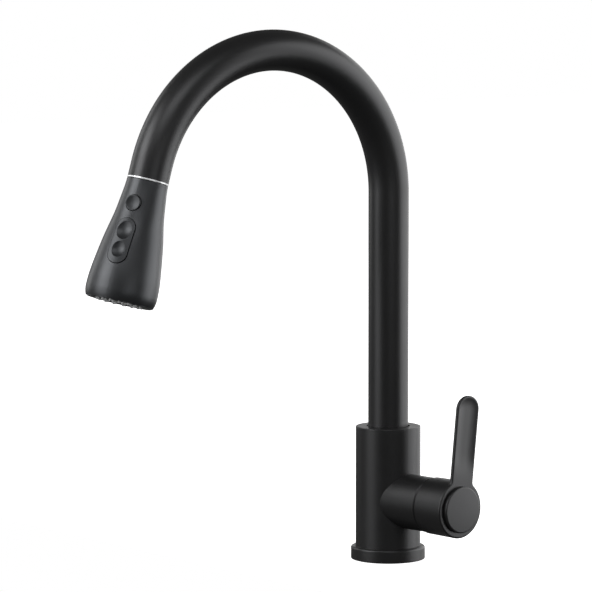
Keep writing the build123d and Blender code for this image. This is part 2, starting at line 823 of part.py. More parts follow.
with BuildPart() as dock_bushing:
    with BuildSketch(head_plane.offset(-dock_bushing_length)):
        ring_face(neck_inner_r - seat_gap, dock_bore_r)
    extrude(amount=dock_bushing_length)
    chamfer(dock_bushing.edges().group_by(head_axis)[0].sort_by(SortBy.RADIUS)[0], dock_lead)
finish(dock_bushing, "dock_bushing")

with BuildPart() as dock_ring:
    with BuildSketch(head_plane):
        ring_face(neck_r, dock_bore_r)
    extrude(amount=ring_thick)
finish(dock_ring, "dock_ring")

# ================================================================ pull-down hose
bend_angle = degrees(acos(1 - hose_offset / (2 * hose_bend_r)))
with BuildPart() as hose_in_body:
    with BuildLine(Plane(origin=(0, 0, 0), x_dir=valve_dir, z_dir=valve_side * -1)) as lower_path:
        low_run = Line((-hose_offset, hose_bottom), (-hose_offset, hose_bend_start))
        first_bend = JernArc(low_run @ 1, (0, 1), hose_bend_r, -bend_angle)
        second_bend = JernArc(first_bend @ 1, first_bend % 1, hose_bend_r, bend_angle)
    with BuildSketch(port_plane.offset(hose_bottom)):
        with Locations((-hose_offset, 0)):
            ring_face(hose_r, hose_bore_r)
    sweep(path=lower_path.wires()[0])
finish(hose_in_body, "hose_in_body")

neck_hose_start = hose_bend_start + 2 * hose_bend_r * sin(radians(bend_angle)) + moving_gap
stub_sag = stub_start - neck_tail  # length of the stub that stands in the arch
neck_hose_sweep = arch_sweep - degrees(stub_sag / arch_r) - 0.3
with BuildPart() as hose_in_neck:
    with BuildLine(Plane.YZ) as upper_path:
        hose_rise = Line((0, neck_hose_start), (0, arch_start))
        JernArc(hose_rise @ 1, (0, 1), arch_r, neck_hose_sweep)
    with BuildSketch(Plane.XY.offset(neck_hose_start)):
        ring_face(hose_r, hose_bore_r)
    sweep(path=upper_path.wires()[0])
finish(hose_in_neck, "hose_in_neck")

with BuildPart() as hose_stub:
    with BuildSketch(head_plane.offset(-stub_start + stub_gap)):
        ring_face(hose_r, hose_bore_r)
    extrude(amount=stub_start - stub_gap - ferrule_bottom)
finish(hose_stub, "hose_stub")

with BuildPart() as hose_ferrule:
    with BuildSketch(head_plane.offset(-ferrule_top)):
        ring_face(ferrule_r, hose_r)
    extrude(amount=ferrule_top - ferrule_bottom)
    for band in crimp_bands:
        with BuildSketch(head_plane.offset(-ferrule_top + band)):
            ring_face(ferrule_r + 1, ferrule_r - crimp_depth)
        extrude(amount=crimp_width, mode=Mode.SUBTRACT)
finish(hose_ferrule, "hose_ferrule")

flange_top = nut_shoulder + moving_gap
with BuildPart() as hose_tail:
    with BuildSketch(head_plane.offset(-ferrule_top + 2)):
        Circle(hose_bore_r)
    extrude(amount=ferrule_top - 2 - ferrule_bottom)
    with BuildSketch(head_plane.offset(-ferrule_bottom)):
        Circle(tail_r)
    extrude(amount=ferrule_bottom + flange_top)
    with BuildSketch(head_plane.offset(flange_top)):
        Circle(tail_flange_r)
    extrude(amount=tail_flange_thick)
    with BuildSketch(head_plane.offset(-ferrule_top)):
        Circle(tail_bore_r)
    extrude(amount=ferrule_top, mode=Mode.SUBTRACT)
finish(hose_tail, "hose_tail")

# ================================================================ spray head
with BuildPart() as hose_nut:
    with BuildSketch(head_section):
        with BuildLine():
            Polyline(
                (tail_r + running, nut_top),
                (nut_top_r, nut_top),
                (nut_r, core_stub_start),
                (nut_r, nut_bottom),
                (nut_thread_r, nut_bottom),
                (nut_thread_r, core_stub_start),
                (tail_flange_r + 0.2, core_stub_start),
                (tail_flange_r + 0.2, nut_shoulder),
                (tail_r + running, nut_shoulder),
                close=True,
            )
        make_face()
    revolve(axis=head_axis)
finish(hose_nut, "hose_nut")

washer_top = flange_top + tail_flange_thick + seat_gap
with BuildPart() as hose_washer:
    with BuildSketch(head_plane.offset(washer_top)):
        ring_face(tail_flange_r - 0.1, tail_bore_r)
    extrude(amount=core_stub_start - washer_top)
finish(hose_washer, "hose_washer")


def shell_outline(offset):
    """Half profile of the spray head, grown outwards by the offset, down to the widest point."""
    return [
        (neck_r + offset, head_top),
        (16.2 + offset, 14.0),
        (18.15 + offset, 28.0),
        (20.85 + offset, 41.0),
        (23.2 + offset, 54.5),
        (25.1 + offset, 67.5),
        (head_wide_r + offset, head_widest),
    ]


rim_drop = head_rim - head_widest
rim_r = head_wide_r - head_rim_arc + sqrt(head_rim_arc**2 - rim_drop**2)
shell_top_inner = head_top + head_wall
with BuildPart() as head_shell:
    with BuildSketch(head_section):
        with BuildLine():
            side = Spline(*shell_outline(0), tangents=((0.02, 1), (0, 1)))
            edge = TangentArc(side @ 1, (rim_r, head_rim), tangent=side % 1)
            mouth_r = bezel_r + seat_gap
            Polyline(edge @ 1, (mouth_r, head_rim), (mouth_r, core_flange_start - 2))
            inner_side = Spline(*[p for p in shell_outline(-head_wall)[1:-1]])
            Line((mouth_r, core_flange_start - 2), inner_side @ 1)
            Polyline(
                inner_side @ 0,
                (neck_r - head_wall, shell_top_inner),
                (nut_r + seat_gap, shell_top_inner),
                (nut_r + seat_gap, head_top),
                (neck_r, head_top),
            )
        make_face()
    revolve(axis=head_axis)
    with BuildSketch(head_plane.offset(core_flange_start - head_boss_length)):
        with PolarLocations(head_screw_circle, head_screws_number, head_screw_start):
            Circle(head_boss_r)
    extrude(amount=head_boss_length)
    with BuildSketch(head_plane.offset(core_flange_start)):
        with PolarLocations(head_screw_circle, head_screws_number, head_screw_start):
            Circle(head_screw_r)
    extrude(amount=-head_boss_length + 0.5, mode=Mode.SUBTRACT)
    with BuildSketch(button_plane.offset(core_r)):
        Circle(pause_r + moving_gap)
    extrude(amount=core_r, mode=Mode.SUBTRACT)
    with BuildSketch(rocker_plane.offset(-rocker_thick - 1)):
        SlotOverall(rocker_length + 2 * rocker_gap, rocker_width + 2 * rocker_gap)
    extrude(amount=rocker_thick + 4, mode=Mode.SUBTRACT)
finish(head_shell, "head_shell")

with BuildPart() as head_core:
    with BuildSketch(head_plane.offset(core_stub_start)):
        Circle(nut_thread_r - seat_gap)
    extrude(amount=core_start - core_stub_start)
    with BuildSketch(head_plane.offset(core_start)):
        Circle(core_r)
    extrude(amount=core_flange_start - core_start)
    with BuildSketch(head_plane.offset(core_flange_start)):
        Circle(core_flange_r)
        with PolarLocations(head_screw_circle, head_screws_number, head_screw_start):
            Circle(head_screw_r + seat_gap, mode=Mode.SUBTRACT)
    extrude(amount=core_flange_thick)
    with BuildSketch(head_plane.offset(core_flange_front)):
        ring_face(cup_r, cup_r - cup_wall)
    extrude(amount=cup_end - core_flange_front)
    with BuildSketch(head_plane.offset(core_stub_start)):
        Circle(valve_bore_r)
    extrude(amount=check_valve_length + 1 - core_stub_start, mode=Mode.SUBTRACT)
    with BuildSketch(head_plane.offset(core_stub_start)):
        Circle(passage_r)
    extrude(amount=core_flange_front - core_stub_start, mode=Mode.SUBTRACT)
    with BuildSketch(head_plane.offset(diverter_start - diverter_room)):
        with Locations((diverter_radial, 0)):
            Circle(diverter_r + running)
    extrude(amount=core_flange_front - diverter_start + diverter_room, mode=Mode.SUBTRACT)
    with BuildSketch(button_plane.offset(plunger_back - 2)):
        Circle(plunger_r + running)
    extrude(amount=core_r - plunger_back + 2, mode=Mode.SUBTRACT)
    with BuildSketch(button_plane.offset(spring_seat)):
        Circle(spring_r + spring_wire_r + spring_room)
    extrude(amount=core_r, mode=Mode.SUBTRACT)
    with BuildSketch(button_plane.offset(pause_back - pause_travel - 0.5)):
        Circle(pause_r + 0.5)
    extrude(amount=core_r, mode=Mode.SUBTRACT)
    with BuildSketch(pivot_plane.offset(core_r - 2)):
        for side in (-1, 1):
            with Locations((0, side * (rocker_boss_half + moving_gap + ear_thick / 2))):
                Rectangle(2 * ear_half_length, ear_thick)
    extrude(amount=pivot_radial + rocker_pin_r + rocker_pin_wall - core_r + 2)
    with BuildSketch(pivot_plane.offset(diverter_radial)):
        Rectangle(2 * (rocker_tail_r + rocker_tail_room), 2 * (rocker_tail_half + moving_gap))
    extrude(amount=core_r, mode=Mode.SUBTRACT)
    with BuildSketch(rocker_section):
        with Locations((pivot_u, pivot_radial)):
            Circle(rocker_pin_r)
    extrude(amount=core_r, both=True, mode=Mode.SUBTRACT)
finish(head_core, "head_core")

with BuildPart() as check_valve:
    with BuildSketch(head_plane):
        ring_face(valve_bore_r - running, passage_r)
    extrude(amount=check_valve_length)
    with BuildSketch(head_plane.offset(check_valve_length / 2)):
        Circle(passage_r)
    extrude(amount=check_disc_thick)
finish(check_valve, "check_valve")

with BuildPart() as head_screws:
    with BuildSketch(head_plane.offset(core_flange_front)):
        with PolarLocations(head_screw_circle, head_screws_number, head_screw_start):
            Circle(head_screw_r + head_screw_rim)
    extrude(amount=head_screw_head)
    with BuildSketch(head_plane.offset(core_flange_front)):
        with PolarLocations(head_screw_circle, head_screws_number, head_screw_start):
            Circle(head_screw_r)
    extrude(amount=-core_flange_thick - head_boss_length + 1)
finish(head_screws, "head_screws")

# ---------------------------------------------------------------- pause button
with BuildPart() as pause_button:
    with BuildSketch(button_plane.offset(pause_back)):
        Circle(pause_r)
    extrude(amount=pause_face - pause_back)
    fillet(pause_button.edges().group_by(Axis(dock_point, button_dir))[-1], pause_edge)
    with BuildSketch(button_plane.offset(pause_back)):
        Circle(pause_r - pause_wall)
    extrude(amount=pause_face - pause_back - pause_cap, mode=Mode.SUBTRACT)
    with Locations(button_plane.from_local_coords((0, 0, pause_face + pause_dish_r - pause_dish))):
        Sphere(pause_dish_r, mode=Mode.SUBTRACT)
finish(pause_button, "pause_button")

plunger_shoulder = spring_seat - spring_seat_gap
with BuildPart() as pause_plunger:
    with BuildSketch(button_plane.offset(plunger_back)):
        Circle(plunger_r)
    extrude(amount=plunger_shoulder - plunger_back)
    with BuildSketch(button_plane.offset(plunger_shoulder)):
        Circle(plunger_r / 2)
    extrude(amount=pause_face - pause_cap - plunger_shoulder)
    with BuildSketch(button_plane.offset(-passage_r)):
        ring_face(plunger_r + 1, plunger_r - plunger_waist)
    extrude(amount=2 * passage_r, mode=Mode.SUBTRACT)
finish(pause_plunger, "pause_plunger")

spring_length = pause_face - pause_cap - spring_seat - 2 * spring_wire_r
with BuildPart() as pause_spring:
    with BuildLine() as coil:
        Helix(
            spring_length / spring_turns,
            spring_length,
            spring_r,
            center=button_plane.from_local_coords((0, 0, spring_seat + spring_wire_r)),
            direction=button_dir,
        )
    with BuildSketch(Plane(origin=coil.line @ 0, z_dir=coil.line % 0)):
        Circle(spring_wire_r)
    sweep(path=coil.wires()[0], is_frenet=True)
finish(pause_spring, "pause_spring")

# ---------------------------------------------------------------- mode rocker
with BuildPart() as mode_rocker:
    with BuildSketch(rocker_plane.offset(-rocker_thick)):
        SlotOverall(rocker_length, rocker_width)
    extrude(amount=rocker_thick + 3)
    with BuildSketch(head_section):
        with BuildLine():
            outer = Spline(*shell_outline(rocker_proud), tangents=((0.02, 1), (0, 1)))
            Polyline(outer @ 1, (0, head_widest), (0, head_top), outer @ 0)
        make_face()
    revolve(axis=head_axis, mode=Mode.INTERSECT)
    for along, dish_r, dish in rocker_dishes:
        with Locations(rocker_plane.from_local_coords((along, 0, dish_r + rocker_proud - dish))):
            Sphere(dish_r, mode=Mode.SUBTRACT)
    boss_height = rocker_pivot_depth + rocker_pin_r + rocker_pin_wall - rocker_thick
    with BuildSketch(rocker_plane.offset(-rocker_thick)):
        Rectangle(2 * rocker_boss_width, 2 * rocker_boss_half)
    extrude(amount=-boss_height)
    with BuildSketch(rocker_section):
        with Locations((pivot_u, (pivot_radial + rocker_tail_radial) / 2)):
            Rectangle(2 * rocker_tail_r, pivot_radial - rocker_tail_radial)
        with Locations((pivot_u, rocker_tail_radial)):
            Circle(rocker_tail_r)
    extrude(amount=rocker_tail_half, both=True)
    with BuildSketch(rocker_section):
        with Locations((pivot_u, pivot_radial)):
            Circle(rocker_pin_r + running)
    extrude(amount=rocker_boss_half, both=True, mode=Mode.SUBTRACT)
finish(mode_rocker, "mode_rocker")

with BuildPart() as rocker_pin:
    with BuildSketch(rocker_section):
        with Locations((pivot_u, pivot_radial)):
            Circle(rocker_pin_r)
    extrude(amount=rocker_boss_half + moving_gap + ear_thick, both=True)
finish(rocker_pin, "rocker_pin")

with BuildPart() as diverter_slide:
    with BuildSketch(head_plane.offset(diverter_start)):
        with Locations((diverter_radial, 0)):
            Circle(diverter_r)
    extrude(amount=diverter_length)
    with BuildSketch(pivot_plane.offset(diverter_radial + diverter_r - diverter_notch_depth)):
        Rectangle(2 * (rocker_tail_r + diverter_notch_gap), 4 * diverter_r)
    extrude(amount=diverter_r, mode=Mode.SUBTRACT)
finish(diverter_slide, "diverter_slide")

# ================================================================ spray face
with BuildPart() as spray_face:
    with BuildSketch(head_plane.offset(plate_back)):
        Circle(plate_r)
        Circle(aerator_r + seat_gap, mode=Mode.SUBTRACT)
        with PolarLocations(outer_nub_circle, outer_nubs):
            Circle(nub_r + seat_gap, mode=Mode.SUBTRACT)
        with PolarLocations(inner_nub_circle, inner_nubs):
            Circle(nub_r + seat_gap, mode=Mode.SUBTRACT)
    extrude(amount=plate_front - plate_back)
    with BuildSketch(head_plane.offset(plate_skirt_start)):
        ring_face(cup_r + seat_gap + plate_skirt_wall, cup_r + seat_gap)
    extrude(amount=plate_back - plate_skirt_start)
finish(spray_face, "spray_face")

with BuildPart() as face_bezel:
    with BuildSketch(head_plane.offset(plate_back)):
        ring_face(bezel_r, bezel_r - bezel_wall)
    extrude(amount=bezel_front - plate_back)
    fillet(face_bezel.edges().group_by(head_axis)[-1], bezel_edge)
finish(face_bezel, "face_bezel")

with BuildPart() as nozzle_mat:
    with BuildSketch(head_plane.offset(cup_end)):
        ring_face(mat_r, aerator_r + seat_gap)
    extrude(amount=plate_back - cup_end)
    with BuildSketch(head_plane.offset(plate_back)) as nub_roots:
        with PolarLocations(outer_nub_circle, outer_nubs):
            Circle(nub_r)
        with PolarLocations(inner_nub_circle, inner_nubs):
            Circle(nub_r)
    nub_length = plate_front + nub_stand - plate_back
    extrude(amount=nub_length, taper=degrees(atan((nub_r - nub_tip_r) / nub_length)))
finish(nozzle_mat, "nozzle_mat")

with BuildPart() as aerator:
    with BuildSketch(head_plane.offset(core_flange_front)):
        ring_face(aerator_r, aerator_r - aerator_wall)
    extrude(amount=plate_front - core_flange_front)
finish(aerator, "aerator")

with BuildPart() as aerator_screen:
    with BuildSketch(head_plane.offset(plate_front - screen_inset)):
        Circle(aerator_r - aerator_wall)
        with HexLocations(screen_pitch / 2, 5, 5):
            Circle(screen_hole_r, mode=Mode.SUBTRACT)
    extrude(amount=-screen_thick)
finish(aerator_screen, "aerator_screen")
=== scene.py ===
"""Studio scene of a single-lever kitchen faucet with a pull-down spray head.

Metres, +Z up, z = 0 on the deck; the spout reaches along -Y, the lever is on the +X side.
"""
import json
from math import atan2, cos, pi, radians, sin, sqrt

import bmesh
import bpy
from mathutils import Matrix, Vector


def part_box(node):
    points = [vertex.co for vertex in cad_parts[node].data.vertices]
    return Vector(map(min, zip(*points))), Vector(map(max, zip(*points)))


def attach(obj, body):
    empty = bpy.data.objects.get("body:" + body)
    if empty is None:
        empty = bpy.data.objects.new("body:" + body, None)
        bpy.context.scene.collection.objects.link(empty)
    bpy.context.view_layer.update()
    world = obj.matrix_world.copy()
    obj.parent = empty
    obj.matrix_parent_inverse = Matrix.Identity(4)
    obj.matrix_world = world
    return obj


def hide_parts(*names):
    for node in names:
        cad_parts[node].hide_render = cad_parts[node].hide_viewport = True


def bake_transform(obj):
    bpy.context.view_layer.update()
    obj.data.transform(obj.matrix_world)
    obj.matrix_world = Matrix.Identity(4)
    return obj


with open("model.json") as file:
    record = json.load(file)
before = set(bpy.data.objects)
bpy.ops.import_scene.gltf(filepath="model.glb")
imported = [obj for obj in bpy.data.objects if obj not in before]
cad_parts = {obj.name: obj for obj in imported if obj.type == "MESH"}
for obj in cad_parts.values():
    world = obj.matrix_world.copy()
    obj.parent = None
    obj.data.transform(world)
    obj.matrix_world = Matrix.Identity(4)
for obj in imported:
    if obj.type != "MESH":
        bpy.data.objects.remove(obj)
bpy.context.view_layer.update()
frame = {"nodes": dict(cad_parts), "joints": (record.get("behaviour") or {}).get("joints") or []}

MM = 0.001
nodes = frame["nodes"]
joints = {joint["name"]: joint for joint in frame["joints"]}

# ---------------------------------------------------------------- places
dock = Vector(joints["head_turn"]["pos_m"])
head_dir = Vector(joints["head_turn"]["axis"]).normalized()
valve_at = Vector(joints["temperature"]["pos_m"])
valve_dir = Vector(joints["temperature"]["axis"]).normalized()
press_dir = Vector(joints["pause_press"]["axis"]).normalized()
button_dir = -press_dir
up = Vector((0, 0, 1))



def placed(origin, x_dir, z_dir):
    """Matrix of a frame with this origin, x along x_dir and z along z_dir."""
    y_dir = z_dir.cross(x_dir)
    turn = Matrix((x_dir, y_dir, z_dir)).transposed().to_4x4()
    return Matrix.Translation(origin) @ turn


# ---------------------------------------------------------------- shader maths
class Val:
    """A shader socket that takes part in Python arithmetic."""

    def __init__(self, graph, socket):
        self.graph = graph
        self.socket = socket

    def math(self, operation, first, second=None):
        """Math node on one or two sockets or numbers."""
        inputs = {0: first}
        if second is not None:
            inputs[1] = second
        return self.graph.node("ShaderNodeMath", {"operation": operation}, inputs)

    def __add__(self, other):
        return self.math("ADD", self, other)

    def __radd__(self, other):
        return self.math("ADD", other, self)

    def __sub__(self, other):
        return self.math("SUBTRACT", self, other)

    def __rsub__(self, other):
        return self.math("SUBTRACT", other, self)

    def __mul__(self, other):
        return self.math("MULTIPLY", self, other)

    def __rmul__(self, other):
        return self.math("MULTIPLY", other, self)


class Graph:
    """A node tree: one method makes every node."""

    def __init__(self, owner):
        owner.use_nodes = True
        self.tree = owner.node_tree
        self.tree.nodes.clear()

    def node(self, kind, settings=None, inputs=None, out=0):
        """New node with its settings first, then its sockets' links or values; gives back one output."""
        made = self.tree.nodes.new(kind)
        for key, value in (settings or {}).items():
            setattr(made, key, value)
        for key, value in (inputs or {}).items():
            if isinstance(value, Val):
                self.tree.links.new(value.socket, made.inputs[key])
            else:
                made.inputs[key].default_value = value
        return Val(self, made.outputs[out]) if len(made.outputs) else None


class Finish(Graph):
    """A procedural material."""

    def __init__(self, name):
        self.material = bpy.data.materials.new(name)
        super().__init__(self.material)
        self.coords = self.node("ShaderNodeTexCoord", out="Object")

    def noise(self, size, detail=2.0):
        """Noise whose features are about this many metres across."""
        return self.node(
            "ShaderNodeTexNoise",
            {},
            {"Vector": self.coords, "Scale": 1 / size, "Detail": detail, "Roughness": 0.5},
        )

    def rise(self, value, low, high):
        """0 below low, 1 above high, with a smooth rise between."""
        return self.node(
            "ShaderNodeMapRange",
            {"interpolation_type": "SMOOTHSTEP"},
            {"Value": value, "From Min": low, "From Max": high},
        )

    def mix(self, factor, first, second):
        """Colour between two colours."""
        return self.node("ShaderNodeMix", {"data_type": "RGBA"}, {0: factor, 6: first, 7: second}, out=2)

    def bump(self, height, distance, strength=1.0):
        """Normal of a surface that rises by this many metres where the height is 1."""
        return self.node(
            "ShaderNodeBump", {}, {"Height": height, "Distance": distance, "Strength": strength}
        )

    def surface(self, **sockets):
        """Principled surface; keys are socket names with _ for a space."""
        values = {key.replace("_", " "): value for key, value in sockets.items()}
        shader = self.node("ShaderNodeBsdfPrincipled", {}, values)
        self.node("ShaderNodeOutputMaterial", {}, {"Surface": shader})
        return self.material


def grey(level, warm=0.0):
    """Linear grey with a slight cast."""
    return (level * (1 + warm), level, level * (1 - warm), 1.0)


def darker(colour, share):
    """This share of a colour."""
    return tuple(level * share for level in colour[:3]) + (1,)


steel_blue = (0.97, 0.975, 1, 1)
plastic_blue = (0.92, 0.95, 1, 1)


def satin_black(name, base, rough, grain_size, grain_depth, warm=0.0, tint=steel_blue, ior=1.5):
    """Satin black coat: even colour, slightly cloudy gloss and a fine spray grain."""
    cloud_size = 18 * MM
    tone_spread = 0.12
    cloud_gloss = 0.06
    grain_gloss = 0.05
    coat = Finish(name)
    cloud = coat.noise(cloud_size, 3.0)
    grain = coat.noise(grain_size)
    tone = coat.mix(cloud, grey(base * (1 - tone_spread), warm), grey(base * (1 + tone_spread), warm))
    return coat.surface(
        Base_Color=tone,
        Roughness=rough + (cloud - 0.5) * cloud_gloss + (grain - 0.5) * grain_gloss,
        IOR=ior,
        Specular_Tint=tint,
        Normal=coat.bump(grain, grain_depth),
    )


def metal(name, colour, rough, metallic=1.0):
    """Bare or plated metal with a fine grain in its gloss."""
    dull_share = 0.92
    cloud_size = 6 * MM
    grain_size = 0.25 * MM
    grain_depth = 0.002 * MM
    cloud_gloss = 0.06
    grain_gloss = 0.12
    bare = Finish(name)
    cloud = bare.noise(cloud_size, 3.0)
    grain = bare.noise(grain_size)
    return bare.surface(
        Base_Color=bare.mix(cloud, darker(colour, dull_share), colour),
        Metallic=metallic,
        Roughness=rough + (grain - 0.5) * grain_gloss + (cloud - 0.5) * cloud_gloss,
        Normal=bare.bump(grain, grain_depth),
    )


def moulded(name, colour, rough):
    """Moulded plastic, rubber or fired ceramic with a fine even grain."""
    dull_share = 0.9
    cloud_size = 9 * MM
    grain_size = 0.35 * MM
    grain_depth = 0.004 * MM
    cloud_gloss = 0.1
    cast = Finish(name)
    cloud = cast.noise(cloud_size, 3.0)
    grain = cast.noise(grain_size)
    return cast.surface(
        Base_Color=cast.mix(cloud, darker(colour, dull_share), colour),
        Roughness=rough + (cloud - 0.5) * cloud_gloss,
        Normal=cast.bump(grain, grain_depth),
    )


finishes = {
    "black_metal": satin_black("black_metal", 0.0075, 0.39, 0.30 * MM, 0.0035 * MM),
    "head_black": satin_black(
        "head_black", 0.0095, 0.40, 0.22 * MM, 0.0030 * MM, warm=-0.05, tint=plastic_blue, ior=1.6
    ),
    "button_black": satin_black(
        "button_black", 0.0130, 0.38, 0.20 * MM, 0.0020 * MM, warm=-0.05, tint=plastic_blue
    ),
    "face_black": satin_black("face_black", 0.0120, 0.36, 0.20 * MM, 0.0020 * MM),
    # The dock ring is chrome; its near-white base with little metal is a painted reflection of a white
    # surround, even all round the ring.
    "bright_ring": metal("bright_ring", (0.92, 0.93, 0.94, 1), 0.30, metallic=0.25),
    "brass": metal("brass", (0.72, 0.52, 0.26, 1), 0.30),
    "steel": metal("steel", (0.62, 0.62, 0.63, 1), 0.26),
    "black_rubber": moulded("black_rubber", (0.018, 0.018, 0.019, 1), 0.62),
    "nozzle_silicone": moulded("nozzle_silicone", (0.82, 0.83, 0.84, 1), 0.45),
    "white_acetal": moulded("white_acetal", (0.78, 0.78, 0.75, 1), 0.34),
    "nut_black": moulded("nut_black", (0.022, 0.022, 0.023, 1), 0.40),
    "ceramic_disc": moulded("ceramic_disc", (0.80, 0.79, 0.76, 1), 0.14),
    "hose_braid": moulded("hose_braid", (0.11, 0.11, 0.115, 1), 0.45),
}


def braid():
    """Black nylon braid: strands that cross at a slant round the head's axis."""
    strands = 12
    strand_pitch = 7 * MM
    strand_relief = 0.25 * MM
    relief_strength = 0.8
    gap_level = -0.2  # of the weave, which runs from -1 to 1
    strand_level = 0.9
    gap_black = grey(0.012)
    strand_black = grey(0.055)
    rough = 0.42
    cloud_gloss = 0.1
    cloud_size = 4 * MM
    cloth = Finish("stub_braid")
    from_dock = cloth.node("ShaderNodeVectorMath", {"operation": "SUBTRACT"}, {0: cloth.coords, 1: dock})
    along, across, beside = [
        cloth.node(
            "ShaderNodeVectorMath", {"operation": "DOT_PRODUCT"}, {0: from_dock, 1: direction}, out="Value"
        )
        for direction in (head_dir, button_dir, head_dir.cross(button_dir))
    ]
    turn = across.math("ARCTAN2", across, beside)
    lay = 2 * pi / strand_pitch
    first = turn.math("SINE", turn * strands + along * lay)
    second = turn.math("SINE", turn * strands - along * lay)
    weave = first.math("MAXIMUM", first, second)
    cloud = cloth.noise(cloud_size)
    return cloth.surface(
        Base_Color=cloth.mix(cloth.rise(weave, gap_level, strand_level), gap_black, strand_black),
        Roughness=rough + (cloud - 0.5) * cloud_gloss,
        Normal=cloth.bump(weave, strand_relief, relief_strength),
    )


finishes["stub_braid"] = braid()
for node in nodes.values():
    for slot in node.material_slots:
        slot.material = finishes[slot.material.name]


# ---------------------------------------------------------------- mesh helpers
def piece(name, bm, finish, body, replaced, sharp=35):
    """Object made of this mesh, smooth up to the sharp angle, in place of these nodes.
    """
    mesh = bpy.data.meshes.new(name)
    bm.to_mesh(mesh)
    bm.free()
    mesh.polygons.foreach_set("use_smooth", [True] * len(mesh.polygons))
    mesh.set_sharp_from_angle(angle=radians(sharp))
    mesh.materials.append(finishes[finish])
    made = bpy.data.objects.new(name, mesh)
    bpy.context.scene.collection.objects.link(made)
    if body:
        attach(made, body)
    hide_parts(*replaced)
    return made


def edges_of(geometry):
    """The edges among this geometry."""
    return [item for item in geometry if isinstance(item, bmesh.types.BMEdge)]


def extruded(bm, edges, offset):
    """Extrude these edges by an offset and give back the new ones."""
    new = bmesh.ops.extrude_edge_only(bm, edges=edges)["geom"]
    corners = [item for item in new if isinstance(item, bmesh.types.BMVert)]
    bmesh.ops.translate(bm, verts=corners, vec=offset)
    return edges_of(new)


def lathe(bm, profile, steps):
    """Turn this profile of (radius, height) points round the z axis."""
    corners = [bm.verts.new((radius, 0, height)) for radius, height in profile]
    spans = [bm.edges.new(pair) for pair in zip(corners, corners[1:])]
    bmesh.ops.spin(
        bm, geom=corners + spans, cent=(0, 0, 0), axis=(0, 0, 1), angle=2 * pi, steps=steps, use_merge=True
    )


def skinned(bm, rings):
    """Join closed rings, all of one length, with quads and close both ends from side to side."""
    loops = [[bm.verts.new(point) for point in ring] for ring in rings]
    for low, high in zip(loops, loops[1:]):
        for k in range(len(low)):
            bm.faces.new((low[k - 1], low[k], high[k], high[k - 1]))
    for loop in (loops[0], loops[-1]):
        for k in range(len(loop) // 2):
            corners = (loop[k], loop[k + 1], loop[-k - 1], loop[-k])
            bm.faces.new(list(dict.fromkeys(corners)))


def settled(bm, frame_matrix):
    """Merge doubles, put the normals outwards and move the mesh to its place."""
    merge_gap = 0.0005 * MM
    bmesh.ops.remove_doubles(bm, verts=bm.verts, dist=merge_gap)
    bmesh.ops.recalc_face_normals(bm, faces=bm.faces)
    bmesh.ops.transform(bm, matrix=frame_matrix, verts=bm.verts)


# ---------------------------------------------------------------- gooseneck
neck_low, neck_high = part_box("neck_tube")
neck_inset = 0.02 * MM  # keeps the round tube inside the box of the CAD mesh
neck_r = neck_high.x - neck_inset
neck_start = neck_low.z
neck_sides = 128
neck_tail = 11.6 * MM
neck_wall = 1.0 * MM
arch_r = 109.1 * MM
arch_start = 275.0 * MM
arch_sweep = radians(163.5)
arch_steps = 110

bm = bmesh.new()
rim = bmesh.ops.create_circle(bm, segments=neck_sides, radius=neck_r)["verts"]
bmesh.ops.translate(bm, verts=rim, vec=(0, 0, neck_start))
ring = extruded(bm, bm.edges[:], (0, 0, arch_start - neck_start))
turned = bmesh.ops.spin(
    bm,
    geom=ring,
    cent=(0, -arch_r, arch_start),
    axis=(1, 0, 0),
    angle=arch_sweep,
    steps=arch_steps,
    use_merge=False,
)["geom_last"]
extruded(bm, edges_of(turned), head_dir * neck_tail)
bmesh.ops.recalc_face_normals(bm, faces=bm.faces)
bmesh.ops.solidify(bm, geom=bm.faces[:], thickness=neck_wall)
piece("neck_tube_skin", bm, "black_metal", "spout", ["neck_tube"])

# ---------------------------------------------------------------- lever
blade_dir = Vector(joints["disc_slide"]["axis"]).normalized()
lever_frame = placed(valve_at, blade_dir, valve_dir)
hub_start = 50.0 * MM
hub_face = 77.4 * MM
hub_rear_r = 21.1 * MM
hub_front_r = 21.48 * MM
hub_rim_r = 19.8 * MM
hub_bore_r = 18.9 * MM
hub_rim_depth = 4.0 * MM
hub_plate = 5.4 * MM
blade_length = 84.18 * MM
blade_thick = 3.2 * MM
root_half = 10.9 * MM
tip_half = 10.96 * MM
tip_height = 10.2 * MM
web_r = 4.0 * MM
front_round = 1.2 * MM  # inset of the rounded front edge
front_fall = front_round * 0.8  # its depth
back_round = 1.9 * MM  # inset of the rounded back edge
back_rise = back_round * 0.75  # its depth
dish = 1.15 * MM
dish_reach = 9.2 * MM
dish_start = 24.0 * MM
dish_full = 40.0 * MM
socket_r = 8.5 * MM
socket_start = 60.0 * MM
socket_bore_r = 5.1 * MM
socket_end = 71.0 * MM
small_edge = 0.3 * MM
hub_seam = 0.02 * MM  # the turned cup stays this far inside the hub's outline
cup_lap = 0.1 * MM  # and reaches this far into it
hub_sides = 128
tip_steps = 24
side_steps = 13
web_steps = 10
hub_steps = 60
round_steps = 6
dish_steps = 10


